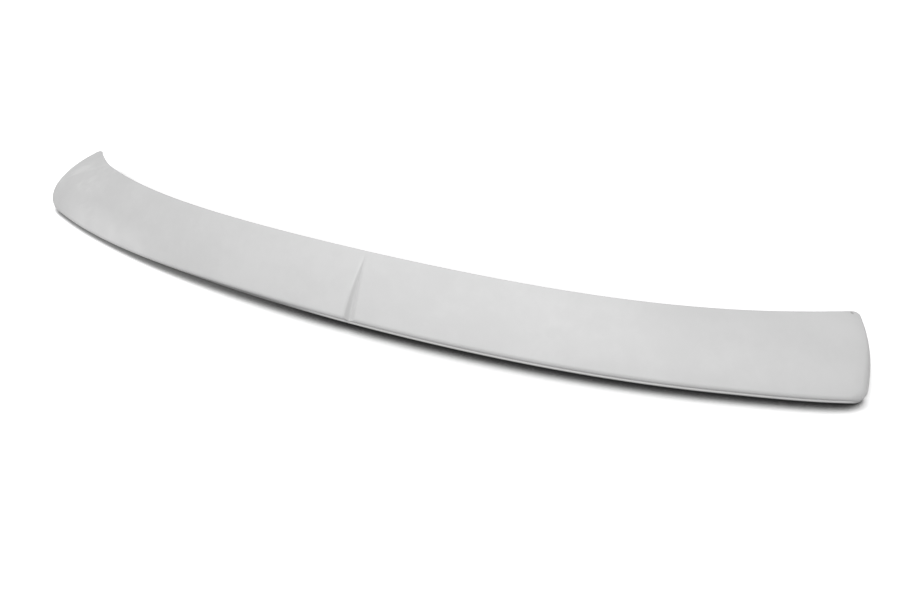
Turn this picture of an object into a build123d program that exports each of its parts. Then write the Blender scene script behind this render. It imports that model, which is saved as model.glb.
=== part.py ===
"""Roof spoiler: a one-piece moulded shell that is bonded along the rear edge of a car roof.

It is drawn in the frame of its mould, with X along the span, Y forward to the leading
edge and Z out of the mould, and is then laid down on the rim of its trailing edge.
"""

import os
from math import radians, tan

from build123d import *

# Plan outline, on the mould's parting plane
span = 1120.0  # from trailing corner to trailing corner
chord = 81.5  # from trailing to leading edge in the middle
trailing_sweep = 73.0  # how far the trailing corners lie forward of the middle
trailing_late = 0.29  # share of that sweep that comes late, near the ends
leading_sweep = 106.0  # the same for the leading edge, carried on to the full span
leading_late = 0.585
corner_radius = 18.0  # trailing corners
tip_inset = 20.0  # the leading tips lie this far inside the trailing corners
tip_radius = 5.0
end_bow = 5.7  # outward bulge of each end

# Skin, over the parting plane
rest_tilt = 35.0  # between the parting plane and the plane of the trailing rim, degrees
middle_rise = 14.4  # slope of the skin up towards the leading edge, degrees
end_rise = -20.5
middle_camber = 2.5  # bulge of the skin between its two edges
end_camber = 17.0
end_droop = 7.0  # how far the skin turns down at the trailing corners
droop_reach = 26.0  # stretch of skin that turns down
wall = 3.0
roll_radius = 5.0  # turned-down trailing edge and ends

# Skirt and lip of the trailing edge
edge_height = 14.0  # trailing edge of the skin above the plane of the rim
skirt_leading = 8.0  # depth of the end skirts at the leading edge
lip_drop = 6.5  # from the skin down to the top of the lip
lip_height = 2.5
lip_reach = 2.0

# Centre groove
groove_width = 15.0  # at the trailing edge
groove_depth = 4.0
groove_tip_width = 4.0  # where it runs out
groove_tip_depth = 0.4
groove_stop = 6.0  # end of the groove, short of the leading edge

half_span = span / 2
run_out = 40.0  # stretch of skin beyond the outline, trimmed away
rim_slope = tan(radians(rest_tilt))
skirt_trailing = edge_height * (1 + rim_slope**2) ** 0.5 + 3 * wall  # past the rim, which trims it
stations = [-1.03, -1, -0.975, -0.95, -0.88, -0.74, -0.56, -0.3, 0, 0.3, 0.56, 0.74, 0.88, 0.95, 0.975, 1, 1.03]
tip_x = half_span - tip_inset


def sag(share, late):
    """Even curve from 0 in the middle to 1 at the ends, with part of it coming late."""
    return (1 - late) * share**2 + late * share**4


def trailing_line(x):
    """Plan position of the trailing edge."""
    return trailing_sweep * sag(x / half_span, trailing_late)


def leading_line(x):
    """Plan position of the leading edge."""
    return chord + leading_sweep * sag(x / half_span, leading_late)


def skin_height(x, y):
    """Height of the outer skin: a level trailing edge, a twisting slope and a camber.

    Near the ends it turns down by the square of the distance.
    """
    share = (x / half_span) ** 4
    back = trailing_line(x)
    along = (y - back) / (leading_line(x) - back)
    middle_slope = tan(radians(middle_rise))
    slope = middle_slope + (tan(radians(end_rise)) - middle_slope) * share
    camber = middle_camber + (end_camber - middle_camber) * share
    droop = end_droop * (max(0, abs(x) - half_span + droop_reach) / droop_reach) ** 2
    return -rim_slope * back + slope * (y - back) + camber * 4 * along * (1 - along) - droop


def skin_profile(x, trailing_depth, leading_depth):
    """Control points of the skin's parabola at one station, lowered by a tapering depth."""
    start = trailing_line(x) - run_out
    end = leading_line(x) + run_out
    middle = (start + end) / 2
    low = skin_height(x, start)
    high = skin_height(x, end)
    crest = 2 * skin_height(x, middle) - (low + high) / 2
    depth = (trailing_depth + leading_depth) / 2
    return (start, low - trailing_depth), (middle, crest - depth), (end, high - leading_depth)


def skin_layer(upper, lower):
    """Solid between two depths below the skin, each given at the trailing and leading side."""
    with BuildPart() as layer:
        for share in stations:
            x = share * half_span
            with BuildSketch(Plane.YZ.offset(x)):
                with BuildLine():
                    top = Bezier(*skin_profile(x, *upper))
                    bottom = Bezier(*skin_profile(x, *lower))
                    Line(top @ 0, bottom @ 0)
                    Line(top @ 1, bottom @ 1)
                make_face()
        loft()
    return layer.part


def plan_prism(inset, reach=0.0):
    """Prism of the outline, open past the leading edge.

    The walls are set in by inset, and the trailing edge alone is set out by reach.
    """
    corner_x = half_span - inset
    back = inset - reach
    edge = [(share * corner_x, trailing_line(share * corner_x) + back) for share in stations[1:-1]]
    edge[0] = (-corner_x, trailing_line(corner_x) + back)
    edge[-1] = (corner_x, trailing_line(corner_x) + back)
    tip = Vector(tip_x - inset, leading_line(tip_x))
    with BuildPart() as prism:
        with BuildSketch():
            with BuildLine():
                trailing = Spline(*edge)
                bow = (trailing @ 1 + tip) / 2 + Vector(end_bow, 0)
                right = ThreePointArc(trailing @ 1, bow, tip)
                past = Line(right @ 1, right @ 1 + right % 1 * 2 * run_out)
                mirror(right, about=Plane.YZ)
                mirror(past, about=Plane.YZ)
                far = past @ 1
                Line(far, (-far.X, far.Y))
            make_face()
            fillet(vertices().group_by(Axis.Y)[0], radius=max(corner_radius - inset, wall))
        extrude(amount=half_span / 2, both=True)
    return prism.part


def leading_trim():
    """Prism of all that lies forward of the leading edge and its rounded tips."""
    edge = [(share * tip_x, leading_line(share * tip_x)) for share in stations[2:-2]]
    tip = Vector(tip_x, leading_line(tip_x))
    corner = Vector(half_span, trailing_line(half_span))
    bow = (corner + tip) / 2 + Vector(end_bow, 0)
    with BuildPart() as prism:
        with BuildSketch():
            with BuildLine():
                end = ThreePointArc(corner, bow, tip, mode=Mode.PRIVATE)
                Spline((-tip.X, tip.Y), *edge, tip)
                back = Line(tip, tip - end % 1 * 2 * run_out)
                side = Line(back @ 1, back @ 1 + Vector(2 * run_out, 0))
                front = Line(side @ 1, (half_span + span / 4, tip.Y + span / 4))
                mirror(back, about=Plane.YZ)
                mirror(side, about=Plane.YZ)
                mirror(front, about=Plane.YZ)
                Line(front @ 1, (-half_span - span / 4, tip.Y + span / 4))
            make_face()
            tips = vertices().filter_by(lambda v: abs(abs(v.X) - tip_x) < 1e-3)
            fillet(tips, radius=tip_radius)
        extrude(amount=half_span / 2, both=True)
    return prism.part


def centre_groove(depth):
    """Tapering wedge along the middle, from behind the trailing edge to its run-out."""
    start = -run_out / 4
    stop = chord - groove_stop
    with BuildPart() as wedge:
        for share in (0, 0.35, 0.7, 1):
            y = start + (stop - start) * share
            taper = max(0, y / stop)
            half = (groove_width + (groove_tip_width - groove_width) * taper) / 2
            deep = groove_depth + (groove_tip_depth - groove_depth) * taper
            level = skin_height(0, y) - depth
            rise = groove_depth
            with BuildSketch(Plane.XZ.offset(-y)):
                with BuildLine():
                    flare = half * (1 + rise / deep)
                    Polyline((-flare, level + rise), (0, level - deep), (flare, level + rise), close=True)
                make_face()
        loft()
    return wedge.part


outer_layer = skin_layer((0, 0), (skirt_trailing, skirt_leading))
lip_layer = skin_layer((lip_drop, lip_drop), (lip_drop + lip_height, lip_drop + lip_height))
inner_layer = skin_layer((wall, wall), (skirt_trailing + run_out, skirt_leading + run_out))
outer_plan = plan_prism(0)
lip_plan = plan_prism(wall / 4, wall / 4 + lip_reach)
inner_plan = plan_prism(wall)
groove = centre_groove(0)
groove_rib = centre_groove(wall)
trim = leading_trim()

# The space under the skin, with a rib left below the groove
with BuildPart() as hollow:
    add(inner_layer)
    add(inner_plan, mode=Mode.INTERSECT)
    add(groove_rib, mode=Mode.SUBTRACT)

# The lip along the trailing edge
with BuildPart() as lip:
    add(lip_layer)
    add(lip_plan, mode=Mode.INTERSECT)

# The shell in its mould
with BuildPart() as moulding:
    add(outer_layer)
    add(outer_plan, mode=Mode.INTERSECT)
    skin = faces().sort_by(SortBy.AREA)[-2:].sort_by(Axis.Z)[-1]
    open_side = skin.edges().sort_by(SortBy.LENGTH)[-2:].sort_by(Axis.Y)[-1:]
    fillet(skin.edges() - open_side, radius=roll_radius)
    add(lip.part)
    add(hollow.part, mode=Mode.SUBTRACT)
    add(groove, mode=Mode.SUBTRACT)
    add(trim, mode=Mode.SUBTRACT)

# The shell at rest, standing on the rim of its trailing edge
with BuildPart() as spoiler_shell:
    add(moulding.part, rotation=(rest_tilt, 0, 0))
    split(bisect_by=Plane.XY.offset(-edge_height), keep=Keep.TOP)

box = spoiler_shell.part.bounding_box()
spoiler_shell.part.position = (-box.center().X, -box.center().Y, -box.min.Z)
spoiler_shell.part.label = "spoiler_shell"

os.makedirs("parts", exist_ok=True)
export_step(spoiler_shell.part, "parts/spoiler_shell.step")
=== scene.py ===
"""Roof spoiler: a moulded shell in satin gelcoat, standing on its trailing rim on a white stage.

The shell is worked out with numpy in the frame of its mould, with x along the span, y forward
to the leading edge and z out of the mould. It is then leaned back onto the rim of its trailing
edge, which stands on the floor. The left end isn't the mirror image of the right one: its corner
is rounder and its edge has settled a little towards the floor.
"""

from math import cos, pi, radians, sin, tan

import bpy
import numpy as np
from bpy.props import FloatProperty, FloatVectorProperty, PointerProperty
from mathutils import Euler, Matrix, Vector


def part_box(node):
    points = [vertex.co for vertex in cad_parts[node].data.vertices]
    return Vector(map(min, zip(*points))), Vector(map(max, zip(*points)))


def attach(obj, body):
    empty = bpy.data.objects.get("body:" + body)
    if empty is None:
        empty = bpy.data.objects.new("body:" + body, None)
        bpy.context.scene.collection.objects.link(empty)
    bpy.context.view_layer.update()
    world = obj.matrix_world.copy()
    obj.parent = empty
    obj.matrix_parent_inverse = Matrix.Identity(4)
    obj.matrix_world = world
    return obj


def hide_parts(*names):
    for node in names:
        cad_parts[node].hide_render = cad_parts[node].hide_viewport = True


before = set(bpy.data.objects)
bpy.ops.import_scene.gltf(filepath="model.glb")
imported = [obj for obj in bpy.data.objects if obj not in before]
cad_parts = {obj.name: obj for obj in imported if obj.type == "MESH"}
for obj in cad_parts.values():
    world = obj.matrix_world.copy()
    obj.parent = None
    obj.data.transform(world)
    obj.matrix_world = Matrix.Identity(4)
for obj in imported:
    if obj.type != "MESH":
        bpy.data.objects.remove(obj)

bl_info = {
    "name": "Roof spoiler",
    "version": (1, 0, 0),
    "blender": (4, 5, 0),
    "location": "3D View > Sidebar > Spoiler",
    "description": "Builds a one-piece roof spoiler and the stage it stands on",
    "category": "Mesh",
}

NODE = "spoiler_shell"
PICTURE_WIDTH = 920

# How far the floor lies below the rim
FLOOR_GAP = 0.0002

# White of the floor as the camera sees it: near the part, 1.2 m away, and how many times more at 3 m
FLOOR_NEAR = 1.3
FLOOR_FAR = 2.4
FLOOR_BEYOND = 2.2

# Shade close under the part: open share of the sky where it is full and where it ends, the way it
# looks up, the share of its reach that is left at the left end, and its level on the right and left
CONTACT_DARK = 0.30
CONTACT_CLEAR = 0.9
CONTACT_WAY = (0.12, 0.25, 0.96)
CONTACT_LEFT = 0.25
SHADE_RIGHT = 0.05
SHADE_LEFT = 0.4

# Name, place, size and power of each lamp
LAMPS = (
    ("lamp_front", (0.30, -1.65, 1.65), (1.6, 1.2), 36),
    ("lamp_top", (-0.55, 0.25, 2.15), (2.0, 1.4), 16),
)


def length(name, description, default):
    """Property that holds a length in metres."""
    return FloatProperty(name=name, description=description, default=default, unit="LENGTH", precision=4)


def share(name, description, default):
    """Property that holds a share from 0 to 1."""
    return FloatProperty(name=name, description=description, default=default, min=0, max=1, subtype="FACTOR")


def angle(name, description, degrees):
    """Property that holds an angle, given in degrees."""
    return FloatProperty(name=name, description=description, default=radians(degrees), subtype="ANGLE")


def colour(name, description, default):
    """Property that holds a colour."""
    return FloatVectorProperty(
        name=name, description=description, default=default, size=4, min=0, max=1, subtype="COLOR"
    )


class SpoilerSizes(bpy.types.PropertyGroup):
    """Sizes of the moulded shell."""

    span: length("Span", "From trailing corner to trailing corner", 1.120)
    chord: length("Chord", "From trailing to leading edge in the middle", 0.0815)
    trailing_sweep: length("Trailing sweep", "Forward sweep of the trailing corners", 0.073)
    trailing_late: share("Late trailing sweep", "Share of the sweep that comes near the ends", 0.29)
    leading_sweep: length("Leading sweep", "Forward sweep of the leading edge over the span", 0.106)
    leading_late: share("Late leading sweep", "Share of the sweep that comes near the ends", 0.585)
    corner_radius: length("Corner radius", "Rounding of the right trailing corner", 0.016)
    corner_back: length("Corner back", "How far the right trailing corner lies back from its sweep", 0.0032)
    back_start: share("Back start", "Share of the half span where the right step begins", 0.74)
    step_width: share("Step width", "Share of the half span over which a corner leaves its sweep", 0.26)
    tip_inset: length("Tip inset", "How far the leading tips lie inside the trailing corners", 0.019)
    tip_radius: length("Tip radius", "Rounding of the leading tips", 0.007)
    end_bow: length("End bow", "Outward bulge of the right end", 0.0048)
    rest_tilt: angle("Rest tilt", "Between the mould's parting plane and the floor", 35.0)
    middle_rise: angle("Middle rise", "Slope of the skin in the middle", 14.4)
    end_rise: angle("End rise", "Slope of the skin at the ends", -20.5)
    middle_camber: length("Middle camber", "Bulge of the skin in the middle", 0.0025)
    end_camber: length("End camber", "Bulge of the skin at the ends", 0.017)
    end_skew: length("End skew", "How far the bulge at the ends moves to the trailing side", 0.004)
    end_droop: length("End droop", "How far the skin turns down at the trailing corners", 0.0025)
    droop_reach: length("Droop reach", "Stretch of skin that turns down", 0.020)
    wall: length("Wall", "Thickness of the moulding", 0.003)
    roll_radius: length("Roll radius", "Turned-down trailing edge and ends", 0.0055)
    corner_roll: length("Corner roll", "Wider turn-down of the ends next to the trailing corners", 0.014)
    roll_fade: length("Roll fade", "Length along the ends over which the turn-down gets narrower", 0.085)
    leading_round: length("Leading rounding", "Rounding of the leading edge", 0.001)
    edge_height: length("Edge height", "Trailing edge of the skin above the floor", 0.014)
    skirt_leading: length("Leading skirt", "Depth of the end skirts at the leading edge", 0.008)
    lip_drop: length("Lip drop", "From the skin down to the top of the lip", 0.0065)
    lip_height: length("Lip height", "Height of the lip", 0.0025)
    lip_reach: length("Lip reach", "How far the lip stands out", 0.0018)
    lip_fade: length("Lip fade", "Length over which the lip runs out at the corners", 0.016)
    lip_left: length("Lip left", "Length over which the lip runs out on the left", 0.15)
    lip_round: length("Lip rounding", "Rounding of the lip's edges", 0.0010)
    groove_width: length("Groove width", "Width of the centre groove at the trailing edge", 0.0128)
    groove_depth: length("Groove depth", "Depth of the centre groove at the trailing edge", 0.004)
    groove_tip_width: length("Groove tip width", "Width where the groove runs out", 0.004)
    groove_tip_depth: length("Groove tip depth", "Depth where the groove runs out", 0.0004)
    groove_stop: length("Groove stop", "End of the groove, short of the leading edge", 0.006)
    groove_round: length("Groove rounding", "Rounding of the groove's shoulders", 0.0008)
    left_corner: length("Left corner radius", "Rounding of the left trailing corner", 0.036)
    left_reach: length("Left reach", "How far outside the span the legs of the left corner meet", 0.0092)
    left_bow: length("Left end bow", "Outward bulge of the left end", -0.002)
    left_forward: length("Left forward", "How far the left trailing corner lies forward of its sweep", 0.002)
    forward_start: share("Forward start", "Share of the half span where the left step begins", 0.78)
    left_set: length("Left set", "How far the left trailing edge has settled to the floor", 0.003)
    left_out: length("Left out", "How far the left trailing edge leans out over its rim", 0.004)
    settle_start: length("Settling start", "Where the edge begins to settle, left of the middle", 0.12)
    settle_length: length("Settling length", "Length over which the settling grows", 0.30)
    left_tip: length("Left tip", "How far the left tip leans forward and up", 0.0035)
    lift_start: length("Lift start", "Where the left tip begins to lift, left of the middle", 0.47)
    lift_length: length("Lift length", "Length over which the lift grows", 0.07)
    lift_low: length("Lift low", "Height over the floor where the lift begins", 0.030)
    lift_height: length("Lift height", "Height over which the lift grows", 0.022)


class SpoilerFinish(bpy.types.PropertyGroup):
    """Colours and marks of the gelcoat, the painted light and shade on it, and the laminate inside."""

    gelcoat: colour("Gelcoat", "Colour of the outer skin", (0.66, 0.66, 0.66, 1))
    # The darker gelcoat gives the random clouds and also the painted shade towards the left end
    gelcoat_dark: colour("Gelcoat shade", "Darker clouds in the outer skin", (0.60, 0.60, 0.60, 1))
    # The rubbed colour gives the rubbing marks and also the painted light in the pale patches by the right
    # tip and low on the left
    rubbed: colour("Rubbed gelcoat", "Marks where the skin was rubbed down", (0.74, 0.74, 0.74, 1))
    # Grey of the painted shade in the root of the groove and along the foot of the skirt, then the width,
    # lean and run of that shade in the groove
    painted_shade: colour("Dust", "Grey dust in the root of the groove and along the foot", (0.50, 0.50, 0.50, 1))
    groove_shade_width: length("Dust width", "Half width of the dust at the trailing edge", 0.0068)
    groove_shade_lean: length("Dust lean", "How far the dust lies to one side of the root", 0.0035)
    groove_shade_start: length("Dust start", "Where the dust begins, at the trailing edge", -0.096)
    groove_shade_end: length("Dust end", "Where the dust runs out", -0.046)
    chip_place: FloatVectorProperty(
        name="Chip", description="Place of a small chip by the right tip", default=(0.5331, 0.0812, 0.0528)
    )
    chip_size: length("Chip size", "Reach of the chip", 0.0030)
    laminate: colour("Laminate", "Colour of the inside", (0.40, 0.40, 0.39, 1))
    strand: colour("Strands", "Glass strands that show in the inside", (0.56, 0.56, 0.54, 1))
    roughness: share("Roughness", "Roughness of the gelcoat", 0.46)


class SpoilerStage(bpy.types.PropertyGroup):
    """Floor, lamps and camera."""

    floor_colour: colour("Floor", "Colour of the floor as the part sees it", (0.40, 0.40, 0.40, 1))
    contact_reach: length("Contact shadow", "Reach of the shade close under the part", 0.031)
    air_light: share("Air light", "Even light from all round", 0.22)
    floor_size: length("Floor size", "Side of the floor", 12.0)
    lens_pixels: FloatProperty(
        name="Lens", description="Focal length in pixels of the picture", default=761.85, min=1
    )
    camera_place: FloatVectorProperty(
        name="Camera", description="Place of the camera", default=(0.39448, -0.70291, 0.55245), subtype="XYZ"
    )
    camera_pitch: angle("Pitch", "How far the camera looks down", 36.1469)
    camera_turn: angle("Turn", "How far the camera turns to the left", 22.6318)
    camera_roll: angle("Roll", "Small roll of the camera", -0.0423)


def sag(part, late):
    """Even curve, 0 in the middle and 1 at the ends: a square, with a share of a fourth power."""
    return (1 - late) * part**2 + late * part**4


def smooth(part):
    """Step from 0 to 1 with level ends: three squares less two cubes."""
    part = np.clip(part, 0, 1)
    return part * part * (3 - 2 * part)


def blend(first, second, part):
    """Straight mix of two values."""
    return first + (second - first) * part


def soft_min(first, second, width):
    """Lower of two heights, with their crossing rounded by a parabola over a width."""
    near = np.clip(1 - np.abs(first - second) / width, 0, 1)
    return np.minimum(first, second) - near**2 * width / 4


def trailing_line(s, x):
    """Plan position of the trailing edge: the sweep times the even curve, with a step by each corner."""
    part = 2 * x / s.span
    right = s.corner_back * smooth((part - s.back_start) / s.step_width)
    left = s.left_forward * smooth((-part - s.forward_start) / s.step_width)
    return s.trailing_sweep * sag(part, s.trailing_late) - right + left


def leading_line(s, x):
    """Plan position of the leading edge: the chord and the sweep times the even curve."""
    return s.chord + s.leading_sweep * sag(2 * x / s.span, s.leading_late)


def skin_height(s, x, y):
    """Height of the outer skin: a level trailing edge, a twisting slope and a parabolic camber.

    Towards the ends the camber leans to the trailing side by a cubic, and the skin turns down by
    the square of the distance.
    """
    part = (2 * x / s.span) ** 4
    back = trailing_line(s, x)
    along = (y - back) / (leading_line(s, x) - back)
    slope = blend(tan(s.middle_rise), tan(s.end_rise), part)
    camber = blend(s.middle_camber, s.end_camber, part)
    camber = camber + s.end_skew * part**2 * (1 - 2 * along)
    droop = s.end_droop * (np.clip(np.abs(x) - s.span / 2 + s.droop_reach, 0, None) / s.droop_reach) ** 2
    return -tan(s.rest_tilt) * back + slope * (y - back) + camber * 4 * along * (1 - along) - droop


def groove_height(s, x, y):
    """Sides of the centre groove: a V with a rounded root that gets narrower and shallower forward."""
    stop = s.chord - s.groove_stop
    taper = np.clip(y / stop, 0, 1)
    half = blend(s.groove_width, s.groove_tip_width, taper) / 2
    deep = blend(s.groove_depth, s.groove_tip_depth, taper) * np.clip((s.chord - y) / s.groove_stop, 0, 1)
    root = half / 5
    across = np.sqrt(x**2 + root**2) - root
    return skin_height(s, 0 * x, y) + deep * (across / half - 1)


def grooved(s, height, plan):
    """A height of the skin or the wall, lowered where the groove runs."""
    return soft_min(height, groove_height(s, plan[..., 0], plan[..., 1]), s.groove_round)


def low_edge(s, plan, lead):
    """Lower edge of the skirt: a depth that tapers forward, but not below the floor.

    Along the leading edge the depth is that of the wall alone.
    """
    x, y = plan[..., 0], plan[..., 1]
    over = 0.040
    back = trailing_line(s, x) - over
    ahead = leading_line(s, x) + over
    deep = s.edge_height / cos(s.rest_tilt) + 3 * s.wall
    depth = blend(blend(deep, s.skirt_leading, (y - back) / (ahead - back)), s.wall, lead)
    floor = -(s.edge_height + y * sin(s.rest_tilt)) / cos(s.rest_tilt)
    return np.maximum(skin_height(s, x, y) - depth, floor)


def corner_arc(start, corner, end, count):
    """Circular arc that touches both legs of a corner, as a rational quadratic curve."""
    first = (corner - start) / np.linalg.norm(corner - start)
    second = (end - corner) / np.linalg.norm(end - corner)
    weight = np.sqrt((1 + first @ second) / 2)
    t = np.linspace(0, 1, count)[:, None]
    a, b, c = (1 - t) ** 2, 2 * weight * t * (1 - t), t**2
    return (a * start + b * corner + c * end) / (a + b + c)


def tangent_reach(first, second, radius):
    """Distance from a corner to where an arc of a radius touches its legs."""
    turn = np.arccos(np.clip(first @ second, -1, 1))
    return radius * np.tan(turn / 2)


def unit(x, y):
    """Plan direction of length one."""
    return np.array([x, y]) / np.hypot(x, y)


def half_outline(s, side, corner_radius, end_bow, reach):
    """One half of the plan outline, drawn on the right, as two lines of equal count that meet on the tip.

    The side is 1 for the right half and -1 for the left. One line runs from the middle of the
    trailing edge round the corner and up the end, which is an arc through its bulge. The other
    runs from the middle of the leading edge. The third result is 1 along the trailing edge and
    falls to 0 round the corner. The fourth rises to 1 round the corner and fades up the end.
    """
    groove_count, edge_count, corner_count, end_count, tip_count = 25, 104, 13, 26, 9
    half = s.span / 2 + reach
    tip_x = s.span / 2 - s.tip_inset
    step = 1e-4
    corner = np.array([half, trailing_line(s, side * half)])
    tip = np.array([tip_x, leading_line(s, tip_x)])
    bow = (corner + tip) / 2 + np.array([end_bow, 0])
    sides = 2 * np.array([bow - corner, tip - corner])
    centre = np.linalg.solve(sides, [bow @ bow - corner @ corner, tip @ tip - corner @ corner])
    radius = np.linalg.norm(corner - centre)
    bend = np.sign(end_bow)
    low = np.arctan2(*(corner - centre)[::-1])
    high = np.arctan2(*(tip - centre)[::-1])
    high = low + (high - low + pi) % (2 * pi) - pi

    def end_arc(turn):
        return centre + radius * np.stack([np.cos(turn), np.sin(turn)], -1)

    trailing_way = unit(step, corner[1] - trailing_line(s, side * (half - step)))
    leading_way = unit(-step, leading_line(s, tip_x - step) - leading_line(s, tip_x))
    corner_reach = tangent_reach(trailing_way, unit(-bend * sin(low), bend * cos(low)), corner_radius)
    tip_reach = tangent_reach(unit(-bend * sin(high), bend * cos(high)), leading_way, s.tip_radius)

    corner_x = half - corner_reach * trailing_way[0]
    tip_start_x = tip_x + tip_reach * leading_way[0]
    shoulder = 0.9 * s.groove_width
    bunching = 0.35
    near = shoulder * np.linspace(0, 1, groove_count)
    even = np.linspace(0, 1, edge_count)
    far = blend(even, np.sin(even * pi / 2), bunching)
    trailing_x = np.concatenate([near, blend(shoulder, corner_x, far[1:])])
    trailing = np.stack([trailing_x, trailing_line(s, side * trailing_x)], -1)
    end_from = low + bend * corner_reach / radius
    end_to = high - bend * tip_reach / radius
    corner_line = corner_arc(trailing[-1], corner, end_arc(end_from), corner_count)
    end_line = end_arc(np.linspace(end_from, end_to, end_count))
    tip_end = np.array([tip_start_x, leading_line(s, tip_start_x)])
    tip_arc = corner_arc(end_line[-1], tip, tip_end, 2 * tip_count - 1)
    outer = np.concatenate([trailing, corner_line[1:], end_line[1:], tip_arc[1:tip_count]])

    pinch = 0.3
    tail = 0.045
    last_x = tip_start_x - tail
    tail_count = corner_count + end_count - 2
    leading_x = np.concatenate([
        near * pinch,
        blend(shoulder * pinch, last_x, even[1:]),
        blend(last_x, tip_start_x, np.linspace(0, 1, tail_count + 1)[1:]),
    ])
    leading = np.stack([leading_x, leading_line(s, leading_x)], -1)
    inner = np.concatenate([leading, tip_arc[::-1][1:tip_count]])

    end_first = len(trailing) + corner_count - 1
    lip = 1 - smooth((outer[:, 0] - corner_x) / s.lip_fade + 0.5)
    lip[end_first:] = 0
    up_end = np.linalg.norm(outer - end_line[0], axis=1)
    up_end[:end_first] = 0
    turned = (1 - lip) * (1 - smooth(up_end / s.roll_fade))
    return outer, inner, lip, turned


def whole(left, right):
    """Two half lines that start in the middle, joined to one from the left tip to the right."""
    return np.concatenate([left[:0:-1], right])


def outline_loop(s):
    """Closed plan outline, anticlockwise from the left tip, with its inward normals.

    Also the number of points from tip to tip, the shares of the lip and of the wider roll, the
    share of the leading edge, which rises smoothly past the tips, and how near each point is to
    a tip.
    """
    left = half_outline(s, -1, s.left_corner, s.left_bow, s.left_reach)
    right = half_outline(s, 1, s.corner_radius, s.end_bow, 0)
    mirror = np.array([-1, 1])
    count = 2 * len(right[0]) - 1
    trailing, leading = whole(left[0] * mirror, right[0]), whole(left[1] * mirror, right[1])
    loop = np.concatenate([trailing, leading[-2:0:-1]])
    off_edge = np.zeros(count - 2)
    lip = np.concatenate([whole(left[2], right[2]), off_edge]) * smooth(1 + loop[:, 0] / s.lip_left)
    turned = np.concatenate([whole(left[3], right[3]), off_edge])
    before = loop - np.roll(loop, 1, 0)
    after = np.roll(before, -1, 0)
    short = np.linalg.norm(before, axis=1)[:, None]
    long = np.linalg.norm(after, axis=1)[:, None]
    way = before / short * long + after / long * short
    way /= np.linalg.norm(way, axis=1)[:, None]
    inward = np.stack([-way[:, 1], way[:, 0]], -1)
    run = np.cumsum(short[:, 0]) - short[0, 0]
    total = run[-1] + short[0, 0]
    middle = run[count - 1]
    aft = np.minimum(run, middle - run)
    fore = np.minimum(run - middle, total - run)
    signed = np.where(np.arange(len(loop)) < count, -aft, fore)
    tip_blend = 0.016
    tip_width = 0.012
    lead = smooth((signed + tip_blend) / (2 * tip_blend))
    tip = np.exp(-((signed / tip_width) ** 2))
    return loop, inward, count, lip, turned, lead, tip


def lip_section(s):
    """Section of the lip as pairs of reach and drop, with its two edges rounded by quarter circles."""
    quarter = np.linspace(0, pi / 2, 4)
    top = s.lip_drop
    base = s.lip_drop + s.lip_height
    r = s.lip_round
    flat = s.lip_reach - r
    upper = np.stack([flat + r * np.sin(quarter), top + r - r * np.cos(quarter)], -1)
    lower = np.stack([flat + r * np.cos(quarter), base - r + r * np.sin(quarter)], -1)
    root = r / 2
    above = [(0, top - 2 * r), (0, top - root), (root / 3, top - root / 3), (root, top)]
    below = [(root, base), (root / 3, base + root / 3), (0, base + root), (0, base + 2 * r)]
    return np.concatenate([above, upper, lower, below])


def shell_rows(s):
    """Rings round the outline, from the skin over the edge, the lip and the rim to the underside.

    Each ring is the outline moved inward by a distance, with a height for each point. The roll
    is an arc that touches the skin and the wall; the inside corner is a quarter of an ellipse.
    """
    loop, inward, count, lip, turned, lead, tip = outline_loop(s)
    rings = []

    def plan_at(distance):
        return loop + inward * np.broadcast_to(distance, lead.shape)[:, None]

    def add(distance, height):
        plan = plan_at(distance)
        rings.append(np.concatenate([plan, height(plan)[:, None]], 1))

    def skin(plan):
        return skin_height(s, plan[..., 0], plan[..., 1])

    def top(plan):
        return grooved(s, skin(plan), plan)

    def under(plan):
        return top(plan) - s.wall

    wider = (s.corner_roll - s.roll_radius) * turned
    radius = blend(s.roll_radius, s.leading_round, lead) + wider
    slope = np.arctan((skin(plan_at(1.5 * radius)) - skin(plan_at(0.5 * radius))) / radius)
    ball = skin(plan_at(radius)) - radius / np.cos(slope)
    for margin in (0.0016, 0.0006):
        add(radius + margin, top)
    for part in np.linspace(1, 0, 10):
        turn = (pi / 2 - slope) * part
        add(radius * (1 - np.cos(turn)), lambda plan: grooved(s, ball + radius * np.sin(turn), plan))

    edge = skin(loop)
    rim_round = blend(0.0004, 0.0008, lead)
    foot = low_edge(s, loop, lead) + rim_round
    section = lip_section(s)
    parts = np.linspace(0, 1, len(section) + 3)[1:-2]
    for (reach, drop), part in zip(section, parts):
        plain = blend(ball, foot, part)
        add(-reach * lip, lambda plan: blend(plain, edge - drop, lip))
    lowest = edge - section[-1, 1]
    for part in (0.5, 1):
        plain = blend(ball, foot, blend(parts[-1], 1, part))
        add(0, lambda plan: blend(plain, blend(lowest, foot, part), lip))

    def foot_at(plan):
        return low_edge(s, plan, lead)

    thinner = 1 - 0.35 * tip
    thick = s.wall * thinner
    draft = 0.0003
    chamfer = 0.3 * rim_round
    inner_round = (1 - lead) * 0.0004
    inside_radius, leading_inside, turn_most = 0.002, 0.0005, 0.6
    add(chamfer, lambda plan: foot_at(plan) + chamfer)
    add(rim_round, foot_at)
    add(thick - rim_round / 2, foot_at)
    inner_first = len(rings)
    add(thick, lambda plan: foot_at(plan) + inner_round)
    turn_in = inside_radius * (1 - lead) + wider
    spread = blend(inside_radius, leading_inside, lead) * thinner + wider
    wall_top = under(plan_at(thick + draft))
    drop_in = np.minimum(turn_in, turn_most * (wall_top - foot_at(plan_at(thick + draft))))
    wall_foot = foot_at(plan_at(thick)) + inner_round
    for part in (0.2, 0.5, 0.8, 1):
        add(thick + draft * part, lambda plan: blend(wall_foot, wall_top - drop_in, part))
    for turn in np.linspace(0, pi / 2, 6)[1:]:
        add(thick + draft + spread * (1 - cos(turn)), lambda plan: under(plan) - drop_in * (1 - sin(turn)))
    last_step = 0.0005
    add(thick + draft + spread + last_step, under)
    return np.array(rings), count, inner_first, top, under


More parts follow.
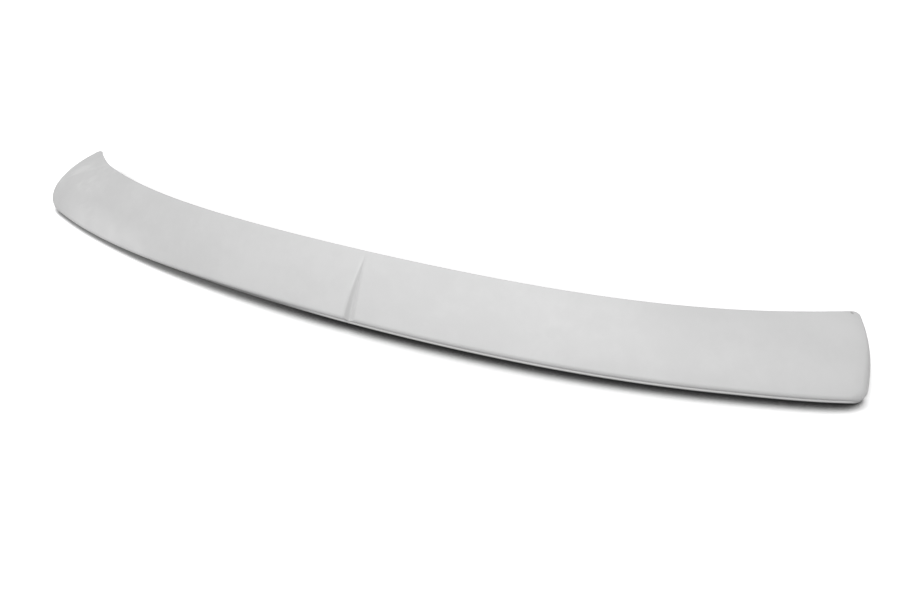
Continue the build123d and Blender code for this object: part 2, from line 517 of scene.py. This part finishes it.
def panel_grid(ring, count, rows, height):
    """Points between the trailing and leading sides of a ring, on straight lines from tip to tip.

    Columns run along the span and rows from the trailing to the leading side. The heights come
    from a function of the plan.
    """
    trailing = ring[:count, :2]
    leading = np.concatenate([ring[:1], ring[: count - 2 : -1]])[:, :2]
    t = np.linspace(0, 1, rows)[None, 1:-1, None]
    plan = blend(trailing[1:-1, None], leading[1:-1, None], t)
    return np.concatenate([plan, height(plan)[..., None]], -1)


def panel_faces(ring_start, ring_size, count, panel_start, rows):
    """Quads of a panel and the triangles that close it at the tips, by vertex number."""
    trailing = ring_start + np.arange(count)
    leading = ring_start + np.concatenate([[0], np.arange(ring_size - 1, count - 2, -1)])
    inside = panel_start + np.arange((count - 2) * (rows - 2)).reshape(count - 2, rows - 2)
    grid = np.concatenate([trailing[1:-1, None], inside, leading[1:-1, None]], 1)
    quads = np.stack([grid[:-1, :-1], grid[1:, :-1], grid[1:, 1:], grid[:-1, 1:]], -1).reshape(-1, 4)
    first = np.stack([np.full(rows - 1, trailing[0]), grid[0, :-1], grid[0, 1:]], -1)
    last = np.stack([np.full(rows - 1, trailing[-1]), grid[-1, 1:], grid[-1, :-1]], -1)
    return quads, np.concatenate([first, last])


def settled(s, x, y, z):
    """Place of points at rest, with the left edge moved out and down and the left tip forward and up.

    The edge moves by a hump over the height, a line times a falling exponential, which is 0 on
    the floor and 1 at the edge. Both moves grow smoothly to the left.
    """
    level = z / s.edge_height
    hump = level * np.exp(1 - level) * smooth((-x - s.settle_start) / s.settle_length)
    lift = s.left_tip * smooth((-x - s.lift_start) / s.lift_length) * smooth((z - s.lift_low) / s.lift_height)
    return np.stack([x, y - s.left_out * hump + lift, z - s.left_set * hump + lift], -1)


def shell_mesh(s):
    """The closed shell: rings round the edge, with a panel on top and one below.

    Returns points in the rest frame, and groups of faces with 0 for the outside or 1 for the inside.
    """
    rings, count, inner_first, top, under = shell_rows(s)
    ring_count, size = rings.shape[:2]
    top_rows, under_rows = 46, 26
    upper = panel_grid(rings[0], count, top_rows, top)
    lower = panel_grid(rings[-1], count, under_rows, under)
    points = np.concatenate([rings.reshape(-1, 3), upper.reshape(-1, 3), lower.reshape(-1, 3)])

    number = np.arange(ring_count * size).reshape(ring_count, size)
    beside = np.roll(number, -1, 1)
    band = np.stack([number[:-1], number[1:], beside[1:], beside[:-1]], -1)
    upper_start = ring_count * size
    lower_start = upper_start + upper.shape[0] * upper.shape[1]
    top_quads, top_tris = panel_faces(0, size, count, upper_start, top_rows)
    under_quads, under_tris = panel_faces((ring_count - 1) * size, size, count, lower_start, under_rows)
    groups = [
        (band[:inner_first].reshape(-1, 4), 0),
        (band[inner_first:].reshape(-1, 4), 1),
        (top_quads, 0),
        (top_tris, 0),
        (under_quads[:, ::-1], 1),
        (under_tris[:, ::-1], 1),
    ]

    tilt = s.rest_tilt
    x, y, z = points.T
    back = y * cos(tilt) - z * sin(tilt)
    up = y * sin(tilt) + z * cos(tilt) + s.edge_height
    return settled(s, x, back, up), groups


def mesh_object(name, points, groups):
    """New object from points and groups of faces, each with a material number, shaded smooth."""
    mesh = bpy.data.meshes.new(name)
    loops = np.concatenate([faces.ravel() for faces, _ in groups])
    sizes = np.concatenate([np.full(len(faces), faces.shape[1]) for faces, _ in groups])
    slots = np.concatenate([np.full(len(faces), slot) for faces, slot in groups])
    mesh.vertices.add(len(points))
    mesh.vertices.foreach_set("co", points.astype(np.float32).ravel())
    mesh.loops.add(len(loops))
    mesh.loops.foreach_set("vertex_index", loops.astype(np.int32))
    mesh.polygons.add(len(sizes))
    mesh.polygons.foreach_set("loop_start", (np.cumsum(sizes) - sizes).astype(np.int32))
    mesh.polygons.foreach_set("material_index", slots.astype(np.int32))
    mesh.update(calc_edges=True)
    mesh.validate()
    mesh.shade_smooth()
    obj = bpy.data.objects.new(name, mesh)
    bpy.context.scene.collection.objects.link(obj)
    return obj


class Nodes:
    """Short way to add and join the nodes of a tree."""

    def __init__(self, tree):
        self.tree = tree

    def add(self, kind, values=None, **settings):
        """Adds a node, with settings and values for its inputs; an input may take another node's output."""
        node = self.tree.nodes.new(kind)
        for key, value in settings.items():
            setattr(node, key, value)
        for key, value in (values or {}).items():
            if isinstance(value, bpy.types.NodeSocket):
                self.tree.links.new(value, node.inputs[key])
            else:
                node.inputs[key].default_value = value
        return node

    def mix(self, part, first, second):
        """Colour between two colours by a share."""
        node = self.add("ShaderNodeMix", data_type="RGBA")
        self.join(part, node.inputs[0])
        self.join(first, node.inputs[6])
        self.join(second, node.inputs[7])
        return node.outputs[2]

    def math(self, kind, *values):
        """Arithmetic on values or outputs."""
        node = self.add("ShaderNodeMath", operation=kind)
        for value, socket in zip(values, node.inputs):
            self.join(value, socket)
        return node.outputs[0]

    def between(self, value, low, high, start=0.0, end=1.0):
        """A value's range mapped smoothly to another range."""
        node = self.add("ShaderNodeMapRange", interpolation_type="SMOOTHSTEP")
        names = ("Value", "From Min", "From Max", "To Min", "To Max")
        for key, item in zip(names, (value, low, high, start, end)):
            self.join(item, node.inputs[key])
        return node.outputs[0]

    def join(self, value, socket):
        """Links an output to a socket, or sets the socket's value."""
        if isinstance(value, bpy.types.NodeSocket):
            self.tree.links.new(value, socket)
        else:
            socket.default_value = value


def cloud_group():
    """Node group: slow and fine clouds that mottle a moulded surface, as one value from 0 to 1."""
    tree = bpy.data.node_groups.new("moulded_clouds", "ShaderNodeTree")
    tree.interface.new_socket("Vector", in_out="INPUT", socket_type="NodeSocketVector")
    scale = tree.interface.new_socket("Scale", in_out="INPUT", socket_type="NodeSocketFloat")
    scale.default_value = 10
    tree.interface.new_socket("Cloud", in_out="OUTPUT", socket_type="NodeSocketFloat")
    n = Nodes(tree)
    given = n.add("NodeGroupInput")
    place, size = given.outputs["Vector"], given.outputs["Scale"]
    slow = n.add("ShaderNodeTexNoise", {"Vector": place, "Scale": size, "Detail": 4, "Roughness": 0.55})
    fine_size = n.math("MULTIPLY", size, 7.0)
    fine = n.add("ShaderNodeTexNoise", {"Vector": place, "Scale": fine_size, "Detail": 3, "Roughness": 0.6})
    total = n.math("MULTIPLY_ADD", fine.outputs[0], 0.35, n.math("MULTIPLY", slow.outputs[0], 0.65))
    out = n.add("NodeGroupOutput")
    n.join(n.between(total, 0.36, 0.64), out.inputs["Cloud"])
    return tree


def streak_group():
    """Node group: fine rubbing marks, noise drawn out along one direction, as one value from 0 to 1."""
    tree = bpy.data.node_groups.new("rubbing_marks", "ShaderNodeTree")
    tree.interface.new_socket("Vector", in_out="INPUT", socket_type="NodeSocketVector")
    tree.interface.new_socket("Turn", in_out="INPUT", socket_type="NodeSocketVector")
    tree.interface.new_socket("Fineness", in_out="INPUT", socket_type="NodeSocketFloat")
    tree.interface.new_socket("Mark", in_out="OUTPUT", socket_type="NodeSocketFloat")
    n = Nodes(tree)
    given = n.add("NodeGroupInput")
    place, turn = given.outputs["Vector"], given.outputs["Turn"]
    turned = n.add("ShaderNodeMapping", {"Vector": place, "Rotation": turn})
    drawn = n.add("ShaderNodeMapping", {"Vector": turned.outputs[0], "Scale": (0.06, 1, 1)})
    marks = n.add("ShaderNodeTexNoise", {
        "Vector": drawn.outputs[0], "Scale": given.outputs["Fineness"], "Detail": 5, "Roughness": 0.65,
    })
    out = n.add("NodeGroupOutput")
    n.join(n.between(marks.outputs[0], 0.42, 0.68), out.inputs["Mark"])
    return tree


def new_material(name):
    """Empty material with its output and a Principled BSDF."""
    material = bpy.data.materials.new(name)
    material.use_nodes = True
    material.node_tree.nodes.clear()
    n = Nodes(material.node_tree)
    shader = n.add("ShaderNodeBsdfPrincipled")
    n.add("ShaderNodeOutputMaterial", {"Surface": shader.outputs[0]})
    return material, n, shader


def gelcoat_material(finish, clouds, streaks):
    """Satin gelcoat: clouded grey with painted shade towards the left end, rubbing marks, painted light in
    pale patches near the ends, painted shade along the foot and in the groove, a chip and an orange peel.
    """
    material, n, shader = new_material("satin_gelcoat")
    place = n.add("ShaderNodeTexCoord").outputs["Object"]
    cloud = n.add("ShaderNodeGroup", {"Vector": place, "Scale": 9.0}, node_tree=clouds).outputs[0]
    x, y, z = n.add("ShaderNodeSeparateXYZ", {"Vector": place}).outputs
    # Painted shade: the skin gets darker towards the left end, added to the random clouds
    painted_left_shade = n.between(x, 0.1, -0.4, 0.0, 0.55)
    clouds_and_left_shade = n.math("MULTIPLY_ADD", cloud, 0.45, painted_left_shade)
    base = n.mix(clouds_and_left_shade, tuple(finish.gelcoat), tuple(finish.gelcoat_dark))

    marks = n.add("ShaderNodeGroup", {
        "Vector": place, "Turn": (0, 0, radians(-28)), "Fineness": 55.0,
    }, node_tree=streaks).outputs[0]
    out_left = n.between(x, -0.36, -0.54)
    patchy = n.add("ShaderNodeTexNoise", {"Vector": place, "Scale": 16.0, "Detail": 2}).outputs[0]
    patch = n.between(patchy, 0.45, 0.62)
    rubbed = n.math("MULTIPLY", n.math("MULTIPLY", marks, out_left), patch)
    base = n.mix(n.math("MULTIPLY", rubbed, 0.8), base, tuple(finish.rubbed))

    # Painted light: paler skin, in patches, by the right tip and low on the left, in the rubbed colour
    right_tip = n.math("MULTIPLY", n.between(x, 0.38, 0.52), n.between(y, 0.0, 0.06))
    left_stretch = n.math("MULTIPLY", n.between(x, -0.26, -0.40), n.between(x, -0.54, -0.42))
    low_left = n.math("MULTIPLY", left_stretch, n.between(z, 0.045, 0.020))
    ends = n.math("MAXIMUM", right_tip, low_left)
    painted_light = n.math("MULTIPLY", ends, n.between(patchy, 0.45, 0.62, 0.9, 0.5))
    base = n.mix(painted_light, base, tuple(finish.rubbed))

    # Painted shade along the foot of the skirt, under the lip, and down the root of the groove; and the chip
    # by the right tip
    foot = n.between(z, 0.0105, 0.0075, 0.0, 0.5)
    base = n.mix(foot, base, tuple(finish.painted_shade))
    # Painted shade down the root of the centre groove, widest at the trailing edge and running out forward
    width = n.between(y, finish.groove_shade_end, finish.groove_shade_start, 0.0015, finish.groove_shade_width)
    lean = n.between(y, finish.groove_shade_end, finish.groove_shade_start, 0.0, finish.groove_shade_lean)
    side = n.math("DIVIDE", n.math("ABSOLUTE", n.math("ADD", x, lean)), width)
    fade = n.between(y, finish.groove_shade_end, finish.groove_shade_end - 0.012)
    painted_shade = n.math("MULTIPLY", n.between(side, 1.0, 0.1), fade)
    base = n.mix(n.math("MULTIPLY", painted_shade, 0.9), base, tuple(finish.painted_shade))
    from_chip = n.add("ShaderNodeVectorMath", {0: place, 1: tuple(finish.chip_place)}, operation="DISTANCE")
    chip = n.between(from_chip.outputs["Value"], finish.chip_size, finish.chip_size / 3)
    base = n.mix(n.math("MULTIPLY", chip, 0.85), base, tuple(finish.laminate))
    n.join(base, shader.inputs["Base Color"])

    rough = n.math("MULTIPLY_ADD", cloud, 0.08, finish.roughness - 0.04)
    n.join(n.math("MULTIPLY_ADD", marks, 0.05, rough), shader.inputs["Roughness"])
    peel = n.add("ShaderNodeTexNoise", {"Vector": place, "Scale": 420.0, "Detail": 2, "Roughness": 0.5})
    height = n.math("MULTIPLY_ADD", marks, 0.3, peel.outputs[0])
    bump = n.add("ShaderNodeBump", {"Height": height, "Strength": 0.05, "Distance": 0.0004})
    n.join(bump.outputs[0], shader.inputs["Normal"])
    shader.inputs["Specular IOR Level"].default_value = 0.4
    return material


def laminate_material(finish, clouds, streaks):
    """Inside of the moulding: matt laminate with glass strands that lie in three directions."""
    material, n, shader = new_material("laminate_inside")
    place = n.add("ShaderNodeTexCoord").outputs["Object"]
    strands = 0.0
    for degrees in (12, 74, 133):
        marks = n.add("ShaderNodeGroup", {
            "Vector": place, "Turn": (0, 0, radians(degrees)), "Fineness": 190.0,
        }, node_tree=streaks)
        strands = n.math("MAXIMUM", marks.outputs[0], strands)
    cloud = n.add("ShaderNodeGroup", {"Vector": place, "Scale": 14.0}, node_tree=clouds).outputs[0]
    shown = n.math("MULTIPLY", strands, n.math("MULTIPLY_ADD", cloud, 0.5, 0.4))
    n.join(n.mix(shown, tuple(finish.laminate), tuple(finish.strand)), shader.inputs["Base Color"])
    n.join(n.math("MULTIPLY_ADD", cloud, 0.15, 0.6), shader.inputs["Roughness"])
    bump = n.add("ShaderNodeBump", {"Height": strands, "Strength": 0.35, "Distance": 0.0005})
    n.join(bump.outputs[0], shader.inputs["Normal"])
    return material


def seen_directly(n):
    """Share that is 1 where the camera, a mirror or a clear piece looks at a surface."""
    path = n.add("ShaderNodeLightPath")
    seen = n.math("MAXIMUM", path.outputs["Is Camera Ray"], path.outputs["Is Glossy Ray"])
    return n.math("MAXIMUM", seen, path.outputs["Is Transmission Ray"])


def floor_material(stage):
    """Plain floor, white to the camera, that keeps its shadow and is shaded close under the part.

    The shade gets narrower and lighter to the left, where the part lies closer to the floor.
    """
    material, n, shader = new_material("stage_floor")
    n.tree.nodes.remove(shader)
    place = n.add("ShaderNodeTexCoord").outputs["Object"]
    along = n.add("ShaderNodeSeparateXYZ", {"Vector": place}).outputs["X"]
    reach = n.between(along, 0.1, -0.45, stage.contact_reach, stage.contact_reach * CONTACT_LEFT)
    dark = n.between(along, 0.0, -0.5, SHADE_RIGHT, SHADE_LEFT)
    way = n.add("ShaderNodeCombineXYZ", dict(zip("XYZ", CONTACT_WAY)))
    near = n.add("ShaderNodeAmbientOcclusion", {"Distance": reach, "Normal": way.outputs[0]}, samples=8)
    lit = n.between(near.outputs["AO"], CONTACT_DARK, CONTACT_CLEAR)
    away = n.add("ShaderNodeVectorMath", {0: place}, operation="LENGTH").outputs["Value"]
    beyond = n.between(away, 1.0, 3.0, 1.0, FLOOR_BEYOND)
    white = n.math("MULTIPLY", n.between(away, 0.15, 1.2, FLOOR_NEAR, FLOOR_FAR), beyond)
    shown = n.mix(seen_directly(n), tuple(stage.floor_colour), n.mix(lit, dark, white))
    diffuse = n.add("ShaderNodeBsdfDiffuse", {"Color": shown})
    output = next(node for node in n.tree.nodes if node.type == "OUTPUT_MATERIAL")
    n.join(diffuse.outputs[0], output.inputs["Surface"])
    return material


class SPOILER_OT_shell(bpy.types.Operator):
    """Build the moulded shell in place of its plain solid"""

    bl_idname = "roof_spoiler.shell"
    bl_label = "Shell"

    def execute(self, context):
        sizes = context.scene.spoiler_sizes
        finish = context.scene.spoiler_finish
        points, groups = shell_mesh(sizes)
        points[:, 1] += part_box(NODE)[0][1] - points[:, 1].min()
        shell = mesh_object("moulded_shell", points, groups)
        clouds, streaks = cloud_group(), streak_group()
        shell.data.materials.append(gelcoat_material(finish, clouds, streaks))
        shell.data.materials.append(laminate_material(finish, clouds, streaks))
        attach(shell, "root")
        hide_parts(NODE)
        return {"FINISHED"}


def soft_box(name, place, target, size, power):
    """Large rectangular lamp that faces a point."""
    lamp = bpy.data.lights.new(name, "AREA")
    lamp.shape = "RECTANGLE"
    lamp.size, lamp.size_y = size
    lamp.energy = power
    obj = bpy.data.objects.new(name, lamp)
    obj.location = place
    obj.rotation_euler = (Vector(target) - Vector(place)).to_track_quat("-Z", "Y").to_euler()
    bpy.context.scene.collection.objects.link(obj)
    return obj


class SPOILER_OT_stage(bpy.types.Operator):
    """Set the floor, the lamps and the camera"""

    bl_idname = "roof_spoiler.stage"
    bl_label = "Stage"

    def execute(self, context):
        scene = context.scene
        stage = scene.spoiler_stage
        reach = stage.floor_size / 2
        ground = np.array([(-reach, -reach), (reach, -reach), (reach, reach), (-reach, reach)])
        points = np.concatenate([ground, np.full((4, 1), -FLOOR_GAP)], 1)
        floor = mesh_object("stage_floor", points, [(np.array([[0, 1, 2, 3]]), 0)])
        floor.data.materials.append(floor_material(stage))

        for name, place, size, power in LAMPS:
            soft_box(name, place, (0, 0, 0), size, power)

        world = bpy.data.worlds.new("stage_air")
        world.use_nodes = True
        n = Nodes(world.node_tree)
        world.node_tree.nodes.clear()
        strength = n.between(seen_directly(n), 0, 1, stage.air_light, 1)
        air = n.add("ShaderNodeBackground", {"Color": (1, 1, 1, 1), "Strength": strength})
        n.add("ShaderNodeOutputWorld", {"Surface": air.outputs[0]})
        scene.world = world

        lens = bpy.data.cameras.new("camera")
        lens.sensor_fit = "HORIZONTAL"
        lens.sensor_width = 36
        lens.lens = stage.lens_pixels / PICTURE_WIDTH * lens.sensor_width
        lens.clip_start = 0.01
        camera = bpy.data.objects.new("camera", lens)
        aim = Euler((pi / 2 - stage.camera_pitch, 0, stage.camera_turn)).to_matrix()
        camera.rotation_euler = (aim @ Matrix.Rotation(stage.camera_roll, 3, "Z")).to_euler()
        camera.location = stage.camera_place
        scene.collection.objects.link(camera)
        scene.camera = camera
        scene.view_settings.view_transform = "Standard"
        return {"FINISHED"}


class SPOILER_PT_sidebar(bpy.types.Panel):
    """Sizes, finish and stage of the spoiler"""

    bl_label = "Roof spoiler"
    bl_idname = "SPOILER_PT_sidebar"
    bl_space_type = "VIEW_3D"
    bl_region_type = "UI"
    bl_category = "Spoiler"

    def draw(self, context):
        scene = context.scene
        steps = (
            (SPOILER_OT_shell, scene.spoiler_sizes),
            (SPOILER_OT_shell, scene.spoiler_finish),
            (SPOILER_OT_stage, scene.spoiler_stage),
        )
        for operator, group in steps:
            box = self.layout.box()
            box.operator(operator.bl_idname)
            for name in group.__annotations__:
                box.prop(group, name)


CLASSES = (
    SpoilerSizes, SpoilerFinish, SpoilerStage, SPOILER_OT_shell, SPOILER_OT_stage, SPOILER_PT_sidebar,
)


def register():
    for cls in CLASSES:
        bpy.utils.register_class(cls)
    bpy.types.Scene.spoiler_sizes = PointerProperty(type=SpoilerSizes)
    bpy.types.Scene.spoiler_finish = PointerProperty(type=SpoilerFinish)
    bpy.types.Scene.spoiler_stage = PointerProperty(type=SpoilerStage)


def unregister():
    del bpy.types.Scene.spoiler_stage
    del bpy.types.Scene.spoiler_finish
    del bpy.types.Scene.spoiler_sizes
    for cls in reversed(CLASSES):
        bpy.utils.unregister_class(cls)


def main():
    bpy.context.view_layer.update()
    register()
    bpy.ops.roof_spoiler.shell()
    bpy.ops.roof_spoiler.stage()


if __name__ == "__main__":
    main()
